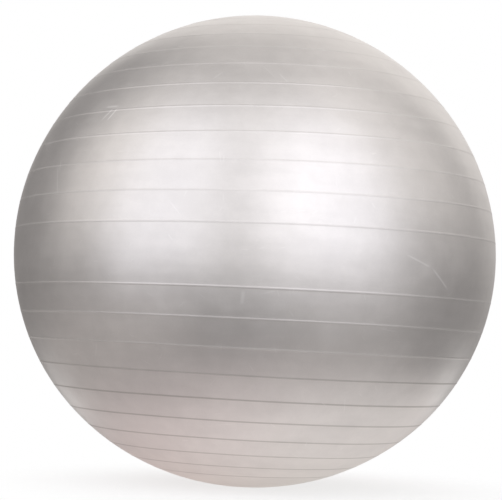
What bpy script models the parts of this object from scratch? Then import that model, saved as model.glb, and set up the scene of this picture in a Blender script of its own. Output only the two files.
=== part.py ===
"""Exercise ball: a hollow moulded PVC skin with raised rings, a valve seat and a push-in plug.

Metres, +Z up. The origin is the centre of the flat patch on which the ball rests, and +Z is
the axis that the moulded rings share. The valve sits at the upper pole, in the middle of them.
"""

import math

import bpy

# Skin: a sphere that its own weight makes a little wide, with a flat patch on the floor
EQUATOR_RADIUS = 0.325
POLAR_RATIO = 0.98
SAG = 0.0013
PATCH_RADIUS = 0.036
WALL = 0.0008

# Raised rings, stepping away from the equator both ways and a little closer with each step,
# more so below it. The first one below the equator is left out, which leaves the plain band.
RING_PITCH_DEG = 6.83
RING_CLOSER_ABOVE = 0.0012
RING_CLOSER_BELOW = 0.006
RINGS_PER_HALF = 11
RING_WIDTH = 0.0040
RING_HEIGHT = 0.0003
PLAIN_STEP_DEG = 4.0

# Valve
PAD_RADIUS = 0.020
PAD_THICKNESS = 0.0025
HOLE_RADIUS = 0.0103
GAP = 0.0003
FLANGE_RADIUS = 0.018
FLANGE_THICKNESS = 0.0015
NECK_TOP_RADIUS = 0.0085
NECK_END_RADIUS = 0.0068
NECK_LENGTH = 0.019
RECESS_RADIUS = 0.0078
RECESS_DEPTH = 0.0014
BORE_RADIUS = 0.0043
SEAT_CHAMFER = 0.0004

# Plug
HEAD_RADIUS = RECESS_RADIUS - GAP
HEAD_THICKNESS = 0.0017
HEAD_BEVEL = 0.0004
DISH_RADIUS = 0.0046
DISH_DEPTH = 0.0005
STEM_LENGTH = 0.021
STEM_TOP_RADIUS = BORE_RADIUS - 2 * GAP
STEM_TIP_RADIUS = 0.0030
RIDGE_RADIUS = BORE_RADIUS - GAP
RIDGE_HEIGHT = 0.0012
RIDGE_DEPTHS = (0.005, 0.011)
CORE_RADIUS = 0.0019
CORE_ROOF = 0.003

SKIN_STEPS = 48
VALVE_STEPS = 32
MERGE = 1e-5
SHARP_DEG = 20.0

SKIN_COLOUR = (0.65, 0.62, 0.60, 1.0)
SEAT_COLOUR = (0.42, 0.41, 0.40, 1.0)
PLUG_COLOUR = (0.86, 0.86, 0.84, 1.0)


def skin_radius(polar):
    """Distance of the skin from the ball's middle, at an angle down from the upper pole."""
    wide = math.hypot(math.sin(polar), math.cos(polar) / POLAR_RATIO)
    return EQUATOR_RADIUS / wide + SAG * math.cos(3 * polar)


def skin_point(polar, outward=0.0):
    """(x, z) on the skin, measured from the ball's middle, moved outward by a distance."""
    radius = skin_radius(polar) + outward
    return radius * math.sin(polar), radius * math.cos(polar)


def polar_at(x, low, high):
    """The polar angle between low and high at which the skin is x away from the axis."""
    rising = skin_point(high)[0] > skin_point(low)[0]
    for _ in range(60):
        middle = (low + high) / 2
        if (skin_point(middle)[0] < x) == rising:
            low = middle
        else:
            high = middle
    return low


PAD_POLAR = polar_at(PAD_RADIUS, 0.0, math.pi / 4)
PATCH_POLAR = polar_at(PATCH_RADIUS, 3 * math.pi / 4, math.pi)
MIDDLE_HEIGHT = -skin_point(PATCH_POLAR)[1]
PAD_HEIGHT = MIDDLE_HEIGHT + skin_point(PAD_POLAR)[1]


def ring_latitude(k, closer):
    """Degrees from the equator to the crest of ring k, counting from 0."""
    return (k + 0.5) * RING_PITCH_DEG * (1 - closer * k)


def ring_polars():
    """Polar angle of each ring's crest, from the top down."""
    above = [ring_latitude(k, RING_CLOSER_ABOVE) for k in reversed(range(RINGS_PER_HALF))]
    below = [-ring_latitude(k, RING_CLOSER_BELOW) for k in range(1, RINGS_PER_HALF)]
    return [math.radians(90 - latitude) for latitude in above + below]


def between(low, high):
    """Polar angles that split a plain stretch of skin into steps, without its two ends."""
    pieces = math.ceil((high - low) / math.radians(PLAIN_STEP_DEG))
    return [low + (high - low) * k / pieces for k in range(1, pieces)]


def lifted(point):
    x, z = point
    return x, z + MIDDLE_HEIGHT


def outer_skin():
    """Outer side of the skin, from the valve hole's edge down to the middle of the patch."""
    foot = RING_WIDTH / 2 / EQUATOR_RADIUS
    rings = ring_polars()
    points = [(HOLE_RADIUS, PAD_HEIGHT), (PAD_RADIUS, PAD_HEIGHT)]
    last = PAD_POLAR
    for ring in rings:
        if ring - last > math.radians(1.1 * RING_PITCH_DEG):
            points += [lifted(skin_point(polar)) for polar in between(last, ring)]
        points += [
            lifted(skin_point(ring - foot)),
            lifted(skin_point(ring, RING_HEIGHT)),
            lifted(skin_point(ring + foot)),
        ]
        last = ring
    points += [lifted(skin_point(polar)) for polar in between(last, PATCH_POLAR)]
    return points + [(PATCH_RADIUS, 0.0), (0.0, 0.0)]


def inner_skin():
    """Inner side of the skin, from the middle of the patch up to the valve hole's edge."""
    stops = [PAD_POLAR] + ring_polars() + [PATCH_POLAR]
    polars = []
    for low, high in zip(stops, stops[1:]):
        if high - low > math.radians(1.1 * RING_PITCH_DEG):
            polars += between(low, high)
        polars.append(high)
    polars.pop()
    points = [lifted(skin_point(polar, -WALL)) for polar in reversed(polars)]
    under_pad = PAD_HEIGHT - PAD_THICKNESS
    top = [(PAD_RADIUS, under_pad), (HOLE_RADIUS, under_pad)]
    return [(0.0, WALL), (PATCH_RADIUS, WALL)] + points + top


def seat_profile():
    """Closed section of the valve seat: a neck through the skin, a flange behind it, a bore."""
    face, back = PAD_HEIGHT, PAD_HEIGHT - PAD_THICKNESS - GAP
    outside = HOLE_RADIUS - GAP
    flange_back = back - FLANGE_THICKNESS
    end = PAD_HEIGHT - NECK_LENGTH
    recess = PAD_HEIGHT - RECESS_DEPTH
    return [
        (outside - SEAT_CHAMFER, face),
        (outside, face - SEAT_CHAMFER),
        (outside, back),
        (FLANGE_RADIUS, back),
        (FLANGE_RADIUS, flange_back),
        (NECK_TOP_RADIUS, flange_back),
        (NECK_END_RADIUS, end),
        (BORE_RADIUS, end),
        (BORE_RADIUS, recess),
        (RECESS_RADIUS, recess),
        (RECESS_RADIUS, face),
    ]


def plug_profile():
    """Section of the plug: a dished head, a tapered stem with two ridges, a core from below."""
    under = PAD_HEIGHT - RECESS_DEPTH + GAP
    top = under + HEAD_THICKNESS
    tip = under - STEM_LENGTH

    def stem_radius(depth):
        return STEM_TOP_RADIUS + (STEM_TIP_RADIUS - STEM_TOP_RADIUS) * depth / STEM_LENGTH

    points = [
        (0.0, top - DISH_DEPTH),
        (DISH_RADIUS - DISH_DEPTH, top - DISH_DEPTH),
        (DISH_RADIUS, top),
        (HEAD_RADIUS - HEAD_BEVEL, top),
        (HEAD_RADIUS, top - HEAD_BEVEL),
        (HEAD_RADIUS, under),
        (stem_radius(0), under),
    ]
    for depth in RIDGE_DEPTHS:
        low, high = depth - RIDGE_HEIGHT / 2, depth + RIDGE_HEIGHT / 2
        points += [
            (stem_radius(low), under - low),
            (RIDGE_RADIUS, under - depth),
            (stem_radius(high), under - high),
        ]
    return points + [
        (STEM_TIP_RADIUS, tip),
        (CORE_RADIUS, tip),
        (CORE_RADIUS, under - CORE_ROOF),
        (0.0, under - CORE_ROOF),
    ]


def material(name, colour, roughness, metallic=0.0):
    made = bpy.data.materials.new(name)
    made.use_nodes = True
    shader = made.node_tree.nodes["Principled BSDF"]
    shader.inputs["Base Color"].default_value = colour
    shader.inputs["Roughness"].default_value = roughness
    shader.inputs["Metallic"].default_value = metallic
    made.diffuse_color = colour
    return made


def turned(name, profile, closed, steps, finish, collection):
    """An object turned from a profile of (x, z) points, smooth but for its real edges."""
    links = [(k, k + 1) for k in range(len(profile) - 1)]
    if closed:
        links.append((len(profile) - 1, 0))
    mesh = bpy.data.meshes.new(name + "_profile")
    mesh.from_pydata([(x, 0.0, z) for x, z in profile], links, [])
    made = bpy.data.objects.new(name, mesh)
    collection.objects.link(made)
    screw = made.modifiers.new("turn", "SCREW")
    screw.axis = "Z"
    screw.steps = screw.render_steps = steps
    screw.use_merge_vertices = True
    screw.merge_threshold = MERGE
    graph = bpy.context.evaluated_depsgraph_get()
    made.data = bpy.data.meshes.new_from_object(made.evaluated_get(graph))
    made.modifiers.remove(screw)
    made.data.name = name
    made.data.shade_smooth()
    made.data.set_sharp_from_angle(angle=math.radians(SHARP_DEG))
    made.data.materials.append(finish)


def main():
    for old in list(bpy.data.objects):
        bpy.data.objects.remove(old)
    parts = bpy.data.collections.new("exercise_ball")
    bpy.context.scene.collection.children.link(parts)

    skin = material("pearl_grey_pvc", SKIN_COLOUR, roughness=0.36, metallic=0.3)
    seat = material("grey_valve_pvc", SEAT_COLOUR, roughness=0.5)
    white = material("white_plug_plastic", PLUG_COLOUR, roughness=0.35)

    turned("ball_shell", inner_skin() + outer_skin(), False, SKIN_STEPS, skin, parts)
    turned("valve_seat", seat_profile(), True, VALVE_STEPS, seat, parts)
    turned("valve_plug", plug_profile(), False, VALVE_STEPS, white, parts)


main()
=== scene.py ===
"""Looks of the exercise ball: its moulded skin with raised rings, the valve and the studio.

Metres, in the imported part's frame: the origin is the middle of the flat patch on the floor and
+Z is the axis that the rings share. The camera looks along +Y, and its right is +X.
"""

import math

import bpy
import numpy as np
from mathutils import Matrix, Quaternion, Vector, noise


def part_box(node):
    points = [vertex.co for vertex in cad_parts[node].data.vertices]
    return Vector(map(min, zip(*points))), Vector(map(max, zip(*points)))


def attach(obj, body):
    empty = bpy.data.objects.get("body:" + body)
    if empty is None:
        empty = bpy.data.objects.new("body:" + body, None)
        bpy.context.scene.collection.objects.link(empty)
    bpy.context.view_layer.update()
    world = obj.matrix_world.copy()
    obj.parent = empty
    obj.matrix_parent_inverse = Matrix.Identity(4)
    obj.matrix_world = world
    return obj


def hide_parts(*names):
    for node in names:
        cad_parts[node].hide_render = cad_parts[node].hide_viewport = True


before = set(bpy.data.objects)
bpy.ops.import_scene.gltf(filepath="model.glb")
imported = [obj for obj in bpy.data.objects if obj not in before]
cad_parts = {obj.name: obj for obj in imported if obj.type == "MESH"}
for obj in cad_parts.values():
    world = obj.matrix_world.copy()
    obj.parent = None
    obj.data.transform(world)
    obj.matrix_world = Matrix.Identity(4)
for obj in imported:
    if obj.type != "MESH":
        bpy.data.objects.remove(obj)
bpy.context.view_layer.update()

# Skin, as in the part
EQUATOR_RADIUS = 0.325
POLAR_RATIO = 0.98
SAG = 0.0013
PATCH_RADIUS = 0.036
WALL = 0.0008
PAD_RADIUS = 0.020
PAD_THICKNESS = 0.0025
HOLE_RADIUS = 0.0103
GAP = 0.0003

# Rings: their places as in the part, and their section, softer and lower than the part's, in
# RING_SPLITS steps with a plain margin on each side
RING_PITCH_DEG = 6.83
RING_CLOSER_ABOVE = 0.0012
RING_CLOSER_BELOW = 0.006
RINGS_PER_HALF = 11
RING_WIDTH = 0.0040
RING_HEIGHT = 0.00018
RING_SPLITS = 10
RING_MARGIN = 0.0008

# The rings fan apart a little towards +X and close up towards -X, and they waver. The waver is
# noise on a circle of radius WAVER_ROUND, WAVER_ACROSS further on for each radian down. The skin
# has shallow dents. Towards the poles all of this dies out between the two CALM latitudes.
RING_FAN = 0.044
RING_WAVER = 0.0005
WAVER_ROUND = 2.0
WAVER_ACROSS = 40.0
WAVER_SHIFT = Vector((3.1, 7.7, 1.9))
DENT_DEPTH = 0.00025
DENT_SIZE = 0.085
CALM_FROM_DEG = 72.0
CALM_TO_DEG = 83.0

# Skin mesh: its points around, the steps along its section in degrees, the bead moulded round
# the valve pad, and the rows in the patch as shares of its radius
AROUND = 224
INNER_STEP_DEG = 6.0
PLAIN_STEP_DEG = 1.6
PAD_BEAD = 0.0005
PAD_BEAD_WIDTH = 0.0022
PATCH_ROWS = (0.94, 0.6, 0.3, 0.0)

# Edges over SHARP_DEG stay sharp, points within ON_AXIS of the axis are one point, and the
# search for an angle halves its range HALVINGS times
SHARP_DEG = 40
ON_AXIS = 1e-9
HALVINGS = 60

# Valve, as in the part
FLANGE_RADIUS = 0.018
FLANGE_THICKNESS = 0.0015
NECK_TOP_RADIUS = 0.0085
NECK_END_RADIUS = 0.0068
NECK_LENGTH = 0.019
RECESS_RADIUS = 0.0078
RECESS_DEPTH = 0.0014
BORE_RADIUS = 0.0043
HEAD_RADIUS = RECESS_RADIUS - GAP
HEAD_THICKNESS = 0.0017
DISH_RADIUS = 0.0046
DISH_DEPTH = 0.0005
STEM_LENGTH = 0.021
STEM_TOP_RADIUS = BORE_RADIUS - 2 * GAP
STEM_TIP_RADIUS = 0.0030
RIDGE_RADIUS = BORE_RADIUS - GAP
RIDGE_HEIGHT = 0.0012
RIDGE_DEPTHS = (0.005, 0.011)
CORE_RADIUS = 0.0019
CORE_ROOF = 0.003

# Valve's finer shapes: rounded edges, a groove and a sealing bead in the seat, the mark of the
# mould's gate in the dish, and a nail notch, which lowers only the points in the head's top band
VALVE_AROUND = 144
ARC_STEPS = 5
BUMP_STEPS = 8
EDGE = 0.0004
SMALL_EDGE = 0.00015
GROOVE_RADIUS = 0.0089
GROOVE_HALF = 0.0004
GROOVE_DEPTH = 0.00025
BEAD_RADIUS = 0.0061
BEAD_HALF = 0.0005
BEAD_HEIGHT = 0.00015
GATE_RADIUS = 0.0008
GATE_HEIGHT = 0.00015
NOTCH_DEPTH = 0.0007
NOTCH_FROM = 0.0056
NOTCH_HALF_DEG = 34.0
HEAD_TOP_BAND = 1.5 * EDGE

# Skin material: its tone runs from dark to light
SKIN_DARK = (0.610, 0.583, 0.562, 1)
SKIN_LIGHT = (0.690, 0.660, 0.636, 1)
SKIN_TONE_RANGE = (0.36, 0.64)
# Painted shade: the colour that the rings' crests darken towards, mostly on the lower rings
SKIN_RING_SHADE = (0.30, 0.28, 0.26, 1)
SKIN_RUBBED = (0.95, 0.93, 0.91, 1)
SKIN_METALLIC = 0.75
SKIN_ROUGHNESS = 0.38

# Noises in the skin: scale, detail and roughness. The scale is for each ball radius in clouds,
# streaks and smudges, and for each metre in the others. The squeeze lays the streaks level.
# SKIN_SHARES says how much of the tone comes from clouds, mottle, flakes and streaks.
CLOUD = (1.7, 3.0, 0.5)
MOTTLE = (42.0, 4.0, 0.6)
FLAKE = (1500.0, 2.0, 0.5)
STREAK = (3.0, 3.0, 0.5)
STREAK_SQUEEZE = (1.0, 1.0, 7.0)
SKIN_SHARES = (0.30, 0.25, 0.25, 0.20)
SMUDGE = (7.5, 4.0, 0.6)
SMUDGE_RANGE = (0.50, 0.72)
WAVE = (24.0, 2.0, 0.5)
PEEL = (800.0, 2.0, 0.5)

# What each adds to the roughness, and how high each stands, in metres
SMUDGE_ROUGH = 0.05
MOTTLE_ROUGH = 0.04
RING_ROUGH = 0.12
SCRATCH_ROUGH = 0.12
WAVE_HEIGHT = 0.00035
PEEL_HEIGHT = 0.000022
SCRATCH_HEIGHT = 0.00004

# Painted shade on the rings' crests, darker on the lower rings: its share on the upper and on
# the lower rings, and the heights between which it changes, in ball radii from the middle
RING_SHADE = (0.03, 0.56)
RING_SHADE_FROM = -0.42
RING_SHADE_TO = -0.54

# Scattered scratches: cell size, half length and half width in metres, and the share of the
# cells that have one
LONG_SCRATCHES = (0.050, 0.016, 0.0007, 0.45)
SHORT_SCRATCHES = (0.022, 0.006, 0.0006, 0.5)
SCATTERED_STRENGTH = 0.22
RUBBED_SHARE = 0.6

# Where a line starts to fade and where it has gone, in half widths, and where its ends start to
# fade, in half lengths. A mark's line would go on round the ball's far side, so a mark is kept
# only where the cosine of the angle from its middle is over MARK_NEAR.
SCRATCH_FADE = (0.3, 1.0)
SCRATCH_END_FADE = 0.4
MARK_FADE = (0.2, 1.3)
MARK_END_FADE = 0.5
MARK_NEAR = 0.5

# Handling marks on the skin: azimuth and latitude of the middle, tilt from level, half length
# (degrees), half width (metres) and strength
MARKS = (
    (-42.3, 28.8, 56.0, 2.1, 0.0012, 0.8),
    (-40.4, 28.7, 64.0, 2.1, 0.0012, 0.9),
    (-42.0, 31.0, 0.0, 2.2, 0.0018, 0.6),
    (-52.6, 13.0, -66.0, 4.2, 0.0016, 0.35),
    (-53.2, 16.4, -70.0, 1.4, 0.0010, 0.5),
    (-2.3, -12.4, 84.0, 1.7, 0.0026, 0.32),
    (-12.3, 39.4, 52.0, 1.5, 0.0010, 0.3),
    (6.4, 39.2, -56.0, 1.9, 0.0010, 0.35),
    (38.0, -2.9, -18.0, 4.2, 0.0014, 0.5),
    (45.2, -6.4, -36.0, 4.2, 0.0014, 0.6),
    (130.0, 12.0, 40.0, 4.0, 0.0010, 0.5),
    (160.0, -25.0, 15.0, 6.0, 0.0009, 0.4),
    (-120.0, 30.0, 70.0, 5.0, 0.0009, 0.4),
    (-150.0, -8.0, 25.0, 7.0, 0.0010, 0.5),
)

# Valve materials: name, darkest and lightest colour, roughness, and how closely the mould's
# turning rings follow each other, in radians for each metre
SEAT_FINISH = ("grey_valve_pvc", (0.36, 0.35, 0.34, 1), (0.44, 0.43, 0.42, 1), 0.5, 9000.0)
PLUG_FINISH = ("white_plug_plastic", (0.70, 0.70, 0.68, 1), (0.80, 0.80, 0.78, 1), 0.34, 12000.0)
VALVE_MOTTLE = (260.0, 4.0, 0.6)
VALVE_GRAIN = (5200.0, 2.0, 0.5)
VALVE_SHARES = (0.7, 0.3)
VALVE_TONE_RANGE = (0.35, 0.65)
VALVE_MOTTLE_ROUGH = 0.16
VALVE_RING_HEIGHT = 0.000003
VALVE_GRAIN_HEIGHT = 0.000012

# Camera: how far it stands from the ball's middle in ball radii, how far under the level of the
# middle, its lean to one side, and how much of the frame's width the ball fills
CAMERA_RADII = 7.3
CAMERA_DIP_DEG = 2.87
CAMERA_LEAN_DEG = 2.0
BALL_SHARE = 0.96
SENSOR_MM = 36
SHIFT = (-0.0077, 0.0048)

# Studio: the light that comes from each direction. Azimuth is 0 on the camera's side and 90 on
# its right. Each entry is a soft-edged box: azimuth, elevation, half width, half height, how
# soft its sides are, how soft its top and bottom are (degrees), strength and colour. DIM comes
# from every direction.
WARM = (1.03, 1.0, 0.97)
ROSE = (1.08, 1.0, 0.97)
PLAIN = (1.0, 1.0, 1.0)
COOL = (0.98, 1.0, 1.08)
LAMPS = {
    "right_box": (35, 25, 30, 35, 35, 35, 1.65, COOL),
    "left_box": (-45, 25, 25, 35, 15, 20, 1.4, COOL),
    "front_wall": (-5, 30, 25, 45, 20, 25, 0.55, PLAIN),
    "ceiling": (0, 85, 180, 30, 5, 40, 0.4, WARM),
    "back_wall": (167, 30, 33, 25, 10, 40, 1.0, WARM),
    "right_wall": (90, 40, 30, 30, 20, 40, 0.65, WARM),
    "left_wall": (-85, 30, 20, 25, 25, 40, 0.95, WARM),
    "low_right": (50, -25, 35, 25, 30, 10, 0.2, WARM),
    "low_left": (-90, -34, 54, 16, 30, 10, 0.28, ROSE),
    "low_back": (175, -40, 40, 25, 30, 10, 1.25, PLAIN),
}
DIM = (0.165, 0.158, 0.153)
WHITE = (1, 1, 1, 1)

# Floor: a disc that fades out between two distances from FLOOR_FADE_MIDDLE, in metres
FLOOR_RADIUS = 0.6
FLOOR_SIDES = 96
FLOOR_ROUGHNESS = 0.9
FLOOR_FADE = (0.21, 0.52)
FLOOR_FADE_MIDDLE = (0.04, 0.0, 0.0)

# It turns from pale to rose between two distances from FLOOR_PALE_MIDDLE
FLOOR_PALE = (0.83, 0.815, 0.80, 1)
FLOOR_ROSE = (0.88, 0.80, 0.785, 1)
FLOOR_PALE_MIDDLE = (0.2, -0.1, 0.0)
FLOOR_PALE_FADE = (0.10, 0.42)

# Its glow, under the ball and at FLOOR_GLOW_REACH from there, and what each metre along X and Y
# adds to it
FLOOR_GLOW = (0.52, 0.03)
FLOOR_GLOW_REACH = 0.40
FLOOR_SLANT = (0.42, -0.1, 0.0)

# How much of it the camera misses, at two distances from FLOOR_FADE_MIDDLE
FLOOR_VEIL = (0.72, 1.0)
FLOOR_VEIL_REACH = (0.10, 0.42)


def skin_radius(polar):
    """Distance of the skin from the ball's middle, at an angle down from the upper pole."""
    wide = np.hypot(np.sin(polar), np.cos(polar) / POLAR_RATIO)
    return EQUATOR_RADIUS / wide + SAG * np.cos(3 * polar)


def polar_at(x, low, high):
    """The polar angle between low and high at which the skin is x away from the axis."""
    rising = skin_radius(high) * math.sin(high) > skin_radius(low) * math.sin(low)
    for _ in range(HALVINGS):
        middle = (low + high) / 2
        if (skin_radius(middle) * math.sin(middle) < x) == rising:
            low = middle
        else:
            high = middle
    return low


PAD_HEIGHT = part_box("valve_seat")[1].z
PAD_POLAR = polar_at(PAD_RADIUS, 0.0, math.pi / 4)
PATCH_POLAR = polar_at(PATCH_RADIUS, 3 * math.pi / 4, math.pi)
MIDDLE = Vector((0, 0, PAD_HEIGHT - skin_radius(PAD_POLAR) * math.cos(PAD_POLAR)))


# ---- Meshes ----


def mesh_object(name, grid, closed, marks=None):
    """A surface through a grid of points, one row for each step along its section. A row that
    lies on the axis becomes one point. Each of the marks is a number for each grid point."""
    rows, around, _ = grid.shape
    marks = marks or {}
    points, index = [], []
    kept = {mark: [] for mark in marks}
    for k, row in enumerate(grid):
        on_axis = np.hypot(row[:, 0], row[:, 1]).max() < ON_AXIS
        count = 1 if on_axis else around
        index.append([len(points) + j % count for j in range(around)])
        points.extend(row[:count])
        for mark, values in marks.items():
            kept[mark].extend(values[k, :count])
    faces = []
    for k in range(rows if closed else rows - 1):
        upper, lower = index[k], index[(k + 1) % rows]
        for j in range(around):
            i = (j + 1) % around
            corners = list(dict.fromkeys([upper[j], lower[j], lower[i], upper[i]]))
            if len(corners) > 2:
                faces.append(corners)
    mesh = bpy.data.meshes.new(name)
    mesh.from_pydata([tuple(p) for p in points], [], faces)
    for mark, values in kept.items():
        mesh.attributes.new(mark, "FLOAT", "POINT").data.foreach_set("value", values)
    mesh.shade_smooth()
    made = bpy.data.objects.new(name, mesh)
    bpy.context.scene.collection.objects.link(made)
    return made


def turned(profile, around):
    """Grid of points that a profile of (x, z) sweeps round the axis."""
    turn = np.arange(around) * 2 * math.pi / around
    x, z = np.array(profile).T
    return np.stack(
        [np.outer(x, np.cos(turn)), np.outer(x, np.sin(turn)), np.outer(z, np.ones(around))],
        axis=2,
    )


def rounded(corners, closed):
    """A section through (x, z, radius) corners, each with its radius as an arc."""
    points = []
    last = len(corners) - 1
    for k, (x, z, radius) in enumerate(corners):
        here = Vector((x, z))
        if radius == 0 or (not closed and k in (0, last)):
            points.append((x, z))
            continue
        back = (Vector(corners[k - 1][:2]) - here).normalized()
        on = (Vector(corners[(k + 1) % len(corners)][:2]) - here).normalized()
        half = back.angle(on) / 2
        reach = radius / math.tan(half)
        centre = here + (back + on).normalized() * radius / math.sin(half)
        start, end = here + back * reach - centre, here + on * reach - centre
        for step in range(ARC_STEPS + 1):
            share = step / ARC_STEPS
            spoke = start.lerp(end, share).normalized() * radius
            points.append(tuple(centre + spoke))
    return points


def bump_section(middle, half, base, height):
    """Corners of a smooth bead (or a groove, with a negative height) across a flat, inwards."""
    shares = [k / BUMP_STEPS for k in range(BUMP_STEPS + 1)]
    return [
        (middle + half * (1 - 2 * share), base + height * math.sin(math.pi * share) ** 2, 0)
        for share in shares
    ]


# ---- Skin ----


def ring_latitude(k, closer):
    """Degrees from the equator to the crest of ring k, counting from 0."""
    return (k + 0.5) * RING_PITCH_DEG * (1 - closer * k)


def ring_polars():
    """Polar angle of each ring's crest, from the top down."""
    above = [ring_latitude(k, RING_CLOSER_ABOVE) for k in reversed(range(RINGS_PER_HALF))]
    below = [-ring_latitude(k, RING_CLOSER_BELOW) for k in range(1, RINGS_PER_HALF)]
    return [math.radians(90 - latitude) for latitude in above + below]


def calm(latitude):
    """1 over most of the skin, falling to 0 towards the valve pad and the patch."""
    start, end = math.radians(CALM_FROM_DEG), math.radians(CALM_TO_DEG)
    t = np.clip((end - np.abs(latitude)) / (end - start), 0, 1)
    return t * t * (3 - 2 * t)


def skin_stations():
    """(polar angle, height above the plain skin) of each row of the outer skin, top down."""
    margin = (RING_WIDTH / 2 + RING_MARGIN) / EQUATOR_RADIUS
    half = RING_WIDTH / 2 / EQUATOR_RADIUS
    stations = [(PAD_POLAR, 0.0)]
    for ring in ring_polars() + [PATCH_POLAR + margin]:
        low, high = stations[-1][0], ring - margin
        pieces = max(1, math.ceil((high - low) / math.radians(PLAIN_STEP_DEG)))
        stations += [(low + (high - low) * k / pieces, 0.0) for k in range(1, pieces + 1)]
        if ring < PATCH_POLAR:
            for k in range(RING_SPLITS + 1):
                across = 2 * k / RING_SPLITS - 1
                bump = RING_HEIGHT * math.cos(across * math.pi / 2) ** 2
                stations.append((ring + across * half, bump))
            stations.append((ring + margin, 0.0))
    return stations


def noise_grid(polar, turn, place):
    """Smooth noise for each polar angle (row) and turn (column), at the point place gives."""
    return np.array([[noise.noise(place(p, t)) for p, t in zip(row, turn)] for row in polar])


def waver_place(polar, turn):
    """Where the rings' waver is read: round a circle with the turn, and on with the angle."""
    across = WAVER_ACROSS * polar
    return Vector((WAVER_ROUND * math.cos(turn), WAVER_ROUND * math.sin(turn), across)) + WAVER_SHIFT


def dent_place(polar, turn):
    """Where the dents are read: on a sphere of the ball's radius, measured in dents."""
    x, y = math.sin(polar) * math.cos(turn), math.sin(polar) * math.sin(turn)
    return EQUATOR_RADIUS / DENT_SIZE * Vector((x, y, math.cos(polar)))


def outer_grid():
    """The outer skin between the valve pad and the patch, and how much of a ring each point is."""
    turn = np.arange(AROUND) * 2 * math.pi / AROUND
    polar, bump = (np.array(column)[:, None] for column in zip(*skin_stations()))
    latitude = math.pi / 2 - polar
    still = calm(latitude)
    fan = RING_FAN * np.cos(turn) * np.sin(latitude) * np.cos(latitude)
    waver = noise_grid(np.broadcast_to(polar, (len(polar), AROUND)), turn, waver_place)
    polar = polar - still * (fan + waver * RING_WAVER / EQUATOR_RADIUS)
    dent = noise_grid(polar, turn, dent_place)
    radius = skin_radius(polar) + bump + still * DENT_DEPTH * dent
    grid = np.stack(
        [
            radius * np.sin(polar) * np.cos(turn),
            radius * np.sin(polar) * np.sin(turn),
            radius * np.cos(polar) + MIDDLE.z,
        ],
        axis=2,
    )
    return grid, np.broadcast_to(bump / RING_HEIGHT, polar.shape)


def inner_section():
    """(x, z) of the inner side, from the middle of the patch up to the valve hole."""
    steps = math.ceil((PATCH_POLAR - PAD_POLAR) / math.radians(INNER_STEP_DEG))
    points = [(0.0, WALL), (PATCH_RADIUS, WALL)]
    for k in range(1, steps):
        angle = PATCH_POLAR + (PAD_POLAR - PATCH_POLAR) * k / steps
        radius = skin_radius(angle) - WALL - DENT_DEPTH
        points.append((radius * math.sin(angle), radius * math.cos(angle) + MIDDLE.z))
    under = PAD_HEIGHT - PAD_THICKNESS
    return points + [(PAD_RADIUS, under), (HOLE_RADIUS, under)]


def build_skin(finish):
    """The whole skin: valve hole, flat pad with a moulded bead, rings, patch and inner side."""
    bead = bump_section(PAD_RADIUS - PAD_BEAD_WIDTH, PAD_BEAD_WIDTH / 2, PAD_HEIGHT, PAD_BEAD)
    pad = rounded(
        [(HOLE_RADIUS, PAD_HEIGHT - EDGE, 0), (HOLE_RADIUS + EDGE, PAD_HEIGHT, 0)] + bead[::-1],
        closed=False,
    )
    outer, ring = outer_grid()
    patch = [(PATCH_RADIUS * share, 0.0) for share in PATCH_ROWS]
    before, after = turned(pad, AROUND), turned(patch + inner_section(), AROUND)
    grid = np.concatenate([before, outer, after])
    marks = np.concatenate([np.zeros(before.shape[:2]), ring, np.zeros(after.shape[:2])])
    skin = mesh_object("skin", grid, closed=True, marks={"ring": marks})
    skin.data.set_sharp_from_angle(angle=math.radians(SHARP_DEG))
    skin.data.materials.append(finish)
    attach(skin, "ball")
    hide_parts("ball_shell")


# ---- Valve ----


def build_seat(finish):
    """The soft seat: grooved face, recess with a sealing bead, bore, neck and flange."""
    face = PAD_HEIGHT
    back = PAD_HEIGHT - PAD_THICKNESS - GAP
    outside = HOLE_RADIUS - GAP
    end = PAD_HEIGHT - NECK_LENGTH
    recess = PAD_HEIGHT - RECESS_DEPTH
    corners = [
        (outside, face, EDGE),
        (outside, back, SMALL_EDGE),
        (FLANGE_RADIUS, back, EDGE),
        (FLANGE_RADIUS, back - FLANGE_THICKNESS, EDGE),
        (NECK_TOP_RADIUS, back - FLANGE_THICKNESS, EDGE),
        (NECK_END_RADIUS, end, EDGE),
        (BORE_RADIUS, end, EDGE),
        (BORE_RADIUS, recess, EDGE),
    ]
    corners += bump_section(BEAD_RADIUS, BEAD_HALF, recess, BEAD_HEIGHT)[::-1]
    corners += [(RECESS_RADIUS, recess, SMALL_EDGE), (RECESS_RADIUS, face, EDGE)]
    corners += bump_section(GROOVE_RADIUS, GROOVE_HALF, face, -GROOVE_DEPTH)[::-1]
    grid = turned(rounded(corners, closed=True), VALVE_AROUND)
    seat = mesh_object("valve_seat_moulding", grid, closed=True)
    seat.data.set_sharp_from_angle(angle=math.radians(SHARP_DEG))
    seat.data.materials.append(finish)
    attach(seat, "ball")
    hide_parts("valve_seat")


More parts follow.
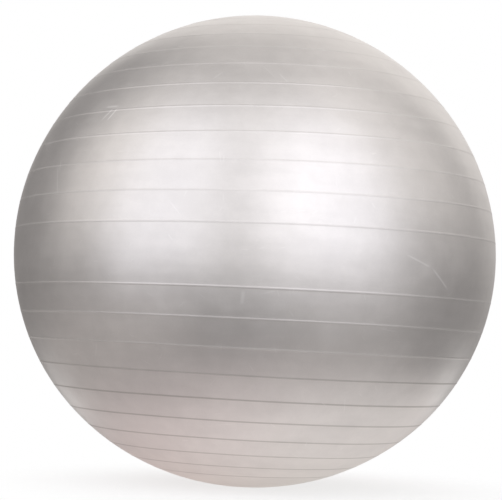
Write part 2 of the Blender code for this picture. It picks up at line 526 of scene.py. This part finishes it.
def plug_corners():
    """Section of the plug from the middle of its dished head down its stem and up its core."""
    under = PAD_HEIGHT - RECESS_DEPTH + GAP
    top = under + HEAD_THICKNESS
    dish = top - DISH_DEPTH
    tip = under - STEM_LENGTH

    def stem_radius(depth):
        return STEM_TOP_RADIUS + (STEM_TIP_RADIUS - STEM_TOP_RADIUS) * depth / STEM_LENGTH

    corners = [
        (0.0, dish + GATE_HEIGHT, 0),
        (GATE_RADIUS, dish + GATE_HEIGHT, SMALL_EDGE),
        (GATE_RADIUS + GATE_HEIGHT, dish, SMALL_EDGE),
        (DISH_RADIUS - DISH_DEPTH, dish, EDGE),
        (DISH_RADIUS, top, SMALL_EDGE),
        (NOTCH_FROM, top, 0),
        ((NOTCH_FROM + HEAD_RADIUS - EDGE) / 2, top, 0),
        (HEAD_RADIUS, top, EDGE),
        (HEAD_RADIUS, under, EDGE),
        (stem_radius(0), under, EDGE),
    ]
    for depth in RIDGE_DEPTHS:
        low, high = depth - RIDGE_HEIGHT / 2, depth + RIDGE_HEIGHT / 2
        corners += [
            (stem_radius(low), under - low, SMALL_EDGE),
            (RIDGE_RADIUS, under - depth, SMALL_EDGE),
            (stem_radius(high), under - high, SMALL_EDGE),
        ]
    return corners + [
        (STEM_TIP_RADIUS, tip, EDGE),
        (CORE_RADIUS, tip, EDGE),
        (CORE_RADIUS, under - CORE_ROOF, EDGE),
        (0.0, under - CORE_ROOF, 0),
    ]


def build_plug(finish):
    """The plug, with a notch for a fingernail in the side of its head that faces the camera."""
    grid = turned(rounded(plug_corners(), closed=False), VALVE_AROUND)
    top = PAD_HEIGHT - RECESS_DEPTH + GAP + HEAD_THICKNESS
    distance = np.hypot(grid[..., 0], grid[..., 1])
    turn = np.degrees(np.abs(np.arctan2(grid[..., 0], -grid[..., 1])))
    across = np.clip(1 - turn / NOTCH_HALF_DEG, 0, 1)
    outward = np.clip((distance - NOTCH_FROM) / (HEAD_RADIUS - NOTCH_FROM), 0, 1)
    upper = grid[..., 2] > top - HEAD_TOP_BAND
    scoop = np.sin(across * math.pi / 2) ** 2 * np.sin(outward * math.pi / 2)
    grid[..., 2] -= np.where(upper, NOTCH_DEPTH * scoop, 0)
    plug = mesh_object("valve_plug_moulding", grid, closed=False)
    plug.data.set_sharp_from_angle(angle=math.radians(SHARP_DEG))
    plug.data.materials.append(finish)
    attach(plug, "plug")
    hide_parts("valve_plug")


# ---- Materials ----


class Graph:
    """Short ways to make and join the shader nodes of a material or a world."""

    def __init__(self, owner):
        owner.use_nodes = True
        self.tree = owner.node_tree
        self.tree.nodes.clear()

    def node(self, kind, inputs, **settings):
        made = self.tree.nodes.new("ShaderNode" + kind)
        for name, value in settings.items():
            setattr(made, name, value)
        for place, value in inputs.items():
            if isinstance(value, bpy.types.NodeSocket):
                self.tree.links.new(value, made.inputs[place])
            else:
                made.inputs[place].default_value = value
        return made

    def math(self, operation, *values):
        return self.node("Math", dict(enumerate(values)), operation=operation).outputs[0]

    def vector(self, operation, *values):
        return self.node("VectorMath", dict(enumerate(values)), operation=operation).outputs[0]

    def scalar(self, operation, *values):
        inputs = dict(enumerate(values))
        return self.node("VectorMath", inputs, operation=operation).outputs["Value"]

    def ramp(self, value, low, high, start=0.0, end=1.0):
        inputs = {"Value": value, "From Min": low, "From Max": high, "To Min": start, "To Max": end}
        return self.node("MapRange", inputs, interpolation_type="SMOOTHSTEP").outputs[0]

    def noise(self, where, scale, detail, roughness):
        inputs = {"Vector": where, "Scale": scale, "Detail": detail, "Roughness": roughness}
        return self.node("TexNoise", inputs).outputs[0]

    def mix(self, share, first, second):
        inputs = {0: share, 6: first, 7: second}
        return self.node("Mix", inputs, data_type="RGBA").outputs[2]

    def bump(self, height, distance, normal=None):
        inputs = {"Height": height, "Distance": distance, "Strength": 1.0}
        if normal:
            inputs["Normal"] = normal
        return self.node("Bump", inputs).outputs[0]

    def blend(self, layers, shares):
        """The sum of the layers, each times its share."""
        tone = self.math("MULTIPLY", layers[0], shares[0])
        for layer, share in zip(layers[1:], shares[1:]):
            tone = self.math("MULTIPLY_ADD", layer, share, tone)
        return tone

    def product(self, *values):
        result = values[0]
        for value in values[1:]:
            result = self.math("MULTIPLY", result, value)
        return result

    def finish(self, shader, kind="Material"):
        self.node("Output" + kind, {"Surface": shader.outputs[0]})


def new_material(name):
    made = bpy.data.materials.new(name)
    return made, Graph(made)


def mark_line(graph, direction, azimuth, latitude, tilt, half_length, half_width, strength):
    """A short fine arc across the ball: its strength, fading out at its ends, and 0 elsewhere."""
    a, e, t = math.radians(azimuth), math.radians(latitude), math.radians(tilt)
    middle = Vector((math.sin(a) * math.cos(e), -math.cos(a) * math.cos(e), math.sin(e)))
    level = Vector((math.cos(a), math.sin(a), 0))
    along = level * math.cos(t) + level.cross(middle) * -math.sin(t)
    side = middle.cross(along)
    off = graph.scalar("DOT_PRODUCT", direction, side)
    ahead = graph.scalar("DOT_PRODUCT", direction, along)
    facing = graph.scalar("DOT_PRODUCT", direction, middle)
    width = half_width / EQUATOR_RADIUS
    full, gone = (part * width for part in MARK_FADE)
    line = graph.ramp(graph.math("ABSOLUTE", off), full, gone, strength, 0.0)
    reach = math.sin(math.radians(half_length))
    ends = graph.ramp(graph.math("ABSOLUTE", ahead), MARK_END_FADE * reach, reach, 1.0, 0.0)
    nearby = graph.math("GREATER_THAN", facing, MARK_NEAR)
    return graph.product(line, ends, nearby)


def scratches(graph, place, cell, half_length, half_width, share):
    """Short straight scratches, each across one cell of a scattered pattern, on some cells."""
    cells = graph.node("TexVoronoi", {"Vector": place, "Scale": 1 / cell})
    lean = graph.vector("SUBTRACT", cells.outputs["Color"], (0.5, 0.5, 0.5))
    lean = graph.vector("NORMALIZE", lean)
    away = graph.vector("SUBTRACT", place, cells.outputs["Position"])
    off = graph.math("ABSOLUTE", graph.scalar("DOT_PRODUCT", away, lean))
    full, gone = (part * half_width for part in SCRATCH_FADE)
    line = graph.ramp(off, full, gone, 1.0, 0.0)
    along = graph.scalar("LENGTH", away)
    ends = graph.ramp(along, SCRATCH_END_FADE * half_length, half_length, 1.0, 0.0)
    chosen = graph.scalar("DOT_PRODUCT", cells.outputs["Color"], (1.0, 0.0, 0.0))
    kept = graph.math("LESS_THAN", chosen, share)
    return graph.product(line, ends, kept)


def skin_material():
    """Pearl grey PVC: satin flakes under a matt face, with clouds, smudges and handling marks."""
    made, graph = new_material("pearl_grey_pvc")
    place = graph.node("TexCoord", {}).outputs["Object"]
    direction = graph.vector("NORMALIZE", graph.vector("SUBTRACT", place, MIDDLE))
    ring = graph.node("Attribute", {}, attribute_name="ring").outputs["Fac"]

    cloud = graph.noise(direction, *CLOUD)
    mottle = graph.noise(place, *MOTTLE)
    flake = graph.noise(place, *FLAKE)
    streak = graph.noise(graph.vector("MULTIPLY", direction, STREAK_SQUEEZE), *STREAK)
    tone = graph.blend((cloud, mottle, flake, streak), SKIN_SHARES)

    smudge = graph.ramp(graph.noise(direction, *SMUDGE), *SMUDGE_RANGE)
    long = scratches(graph, place, *LONG_SCRATCHES)
    short = scratches(graph, place, *SHORT_SCRATCHES)
    scratch = graph.math("MULTIPLY", graph.math("MAXIMUM", long, short), SCATTERED_STRENGTH)
    for mark in MARKS:
        scratch = graph.math("MAXIMUM", scratch, mark_line(graph, direction, *mark))

    colour = graph.mix(graph.ramp(tone, *SKIN_TONE_RANGE), SKIN_DARK, SKIN_LIGHT)
    up = graph.node("SeparateXYZ", {0: direction}).outputs["Z"]
    # Painted shade: the rings' crests darken, faintly on the upper rings and strongly below the
    # waist
    ring_shade = graph.ramp(up, RING_SHADE_FROM, RING_SHADE_TO, *RING_SHADE)
    colour = graph.mix(graph.math("MULTIPLY", ring, ring_shade), colour, SKIN_RING_SHADE)
    colour = graph.mix(graph.math("MULTIPLY", scratch, RUBBED_SHARE), colour, SKIN_RUBBED)

    rough = SKIN_ROUGHNESS - MOTTLE_ROUGH / 2
    rough = graph.math("MULTIPLY_ADD", smudge, SMUDGE_ROUGH, rough)
    rough = graph.math("MULTIPLY_ADD", mottle, MOTTLE_ROUGH, rough)
    rough = graph.math("MULTIPLY_ADD", ring, RING_ROUGH, rough)
    rough = graph.math("MULTIPLY_ADD", scratch, SCRATCH_ROUGH, rough)

    wave = graph.bump(graph.noise(place, *WAVE), WAVE_HEIGHT)
    peel = graph.bump(graph.noise(place, *PEEL), PEEL_HEIGHT, wave)
    cut = graph.bump(scratch, SCRATCH_HEIGHT, peel)
    graph.finish(
        graph.node(
            "BsdfPrincipled",
            {
                "Base Color": colour,
                "Metallic": SKIN_METALLIC,
                "Roughness": rough,
                "Normal": cut,
            },
        )
    )
    return made


def moulded_material(name, dark, light, roughness, swirl):
    """Plain moulded plastic: mottled colour, faint turning rings from its mould, fine grain."""
    made, graph = new_material(name)
    place = graph.node("TexCoord", {}).outputs["Object"]
    mottle = graph.noise(place, *VALVE_MOTTLE)
    grain = graph.noise(place, *VALVE_GRAIN)
    tone = graph.blend((mottle, grain), VALVE_SHARES)
    lowest = roughness - VALVE_MOTTLE_ROUGH / 2
    rough = graph.math("MULTIPLY_ADD", mottle, VALVE_MOTTLE_ROUGH, lowest)
    out = graph.scalar("LENGTH", graph.vector("MULTIPLY", place, (1.0, 1.0, 0.0)))
    rings = graph.math("SINE", graph.math("MULTIPLY", out, swirl))
    fine = graph.bump(grain, VALVE_GRAIN_HEIGHT, graph.bump(rings, VALVE_RING_HEIGHT))
    graph.finish(
        graph.node(
            "BsdfPrincipled",
            {
                "Base Color": graph.mix(graph.ramp(tone, *VALVE_TONE_RANGE), dark, light),
                "Roughness": rough,
                "Normal": fine,
            },
        )
    )
    return made


# ---- Studio ----


def build_camera():
    """A camera that looks slightly up at the ball's middle and leans a little to one side."""
    camera = bpy.data.objects.new("camera", bpy.data.cameras.new("camera"))
    bpy.context.scene.collection.objects.link(camera)
    dip = math.radians(CAMERA_DIP_DEG)
    away = CAMERA_RADII * EQUATOR_RADIUS
    camera.location = MIDDLE + away * Vector((0, -math.cos(dip), -math.sin(dip)))
    look = (MIDDLE - camera.location).to_track_quat("-Z", "Y")
    camera.rotation_mode = "QUATERNION"
    camera.rotation_quaternion = look @ Quaternion((0, 0, 1), math.radians(CAMERA_LEAN_DEG))
    camera.data.sensor_width = SENSOR_MM
    camera.data.lens = SENSOR_MM * BALL_SHARE / 2 * math.sqrt(CAMERA_RADII**2 - 1)
    camera.data.shift_x, camera.data.shift_y = SHIFT
    bpy.context.scene.camera = camera


def build_floor():
    """A pale floor that glows on the ball and fades out into the white surroundings. The camera
    sees it faintly and without its glow."""
    bpy.ops.mesh.primitive_circle_add(
        vertices=FLOOR_SIDES, radius=FLOOR_RADIUS, fill_type="NGON"
    )
    floor = bpy.context.object
    floor.name = "floor"
    made, graph = new_material("floor")
    place = graph.node("TexCoord", {}).outputs["Object"]
    out = graph.scalar("LENGTH", place)
    slant = graph.scalar("DOT_PRODUCT", place, FLOOR_SLANT)
    glow = graph.math("ADD", graph.ramp(out, 0.0, FLOOR_GLOW_REACH, *FLOOR_GLOW), slant)
    by_camera = graph.node("LightPath", {}).outputs["Is Camera Ray"]
    glow = graph.math("MULTIPLY", glow, graph.math("SUBTRACT", 1.0, by_camera))
    from_pale = graph.scalar("DISTANCE", place, FLOOR_PALE_MIDDLE)
    colour = graph.mix(graph.ramp(from_pale, *FLOOR_PALE_FADE), FLOOR_PALE, FLOOR_ROSE)
    paper = graph.node(
        "BsdfPrincipled",
        {
            "Base Color": colour,
            "Roughness": FLOOR_ROUGHNESS,
            "Emission Color": colour,
            "Emission Strength": glow,
        },
    )
    clear = graph.node("BsdfTransparent", {})
    off = graph.scalar("DISTANCE", place, FLOOR_FADE_MIDDLE)
    veil = graph.math("MULTIPLY", by_camera, graph.ramp(off, *FLOOR_VEIL_REACH, *FLOOR_VEIL))
    share = graph.math("MAXIMUM", graph.ramp(off, *FLOOR_FADE), veil)
    graph.finish(graph.node("MixShader", {0: share, 1: paper.outputs[0], 2: clear.outputs[0]}))
    floor.data.materials.append(made)


def soft_box(graph, azimuth, height, box):
    """How much a direction is inside a soft-edged box: 1 in its middle, fading to 0 outside."""
    at_azimuth, at_height, half_width, half_height, sides, ends = map(math.radians, box)
    aside = graph.math("PINGPONG", graph.math("SUBTRACT", azimuth, at_azimuth), math.pi)
    above = graph.math("ABSOLUTE", graph.math("SUBTRACT", height, at_height))
    return graph.product(
        graph.ramp(aside, half_width - sides / 2, half_width + sides / 2, 1.0, 0.0),
        graph.ramp(above, half_height - ends / 2, half_height + ends / 2, 1.0, 0.0),
    )


def build_world():
    """The studio's soft boxes and walls as light by direction, white where the camera sees it."""
    world = bpy.data.worlds.new("studio")
    bpy.context.scene.world = world
    graph = Graph(world)
    direction = graph.node("TexCoord", {}).outputs["Generated"]
    parts = graph.node("SeparateXYZ", {0: direction})
    x, y, z = parts.outputs
    azimuth = graph.math("ARCTAN2", x, graph.math("MULTIPLY", y, -1.0))
    height = graph.math("ARCSINE", z)
    light = DIM
    for *box, strength, colour in LAMPS.values():
        share = graph.math("MULTIPLY", soft_box(graph, azimuth, height, box), strength)
        lamp = graph.node("VectorMath", {0: colour, "Scale": share}, operation="SCALE")
        light = graph.vector("ADD", light, lamp.outputs[0])
    lit = graph.node("Background", {"Color": light})
    seen = graph.node("Background", {"Color": WHITE})
    by_camera = graph.node("LightPath", {}).outputs["Is Camera Ray"]
    both = graph.node("MixShader", {0: by_camera, 1: lit.outputs[0], 2: seen.outputs[0]})
    graph.finish(both, "World")


def main():
    build_skin(skin_material())
    build_seat(moulded_material(*SEAT_FINISH))
    build_plug(moulded_material(*PLUG_FINISH))
    build_camera()
    build_floor()
    build_world()
    bpy.context.scene.view_settings.view_transform = "Standard"


main()
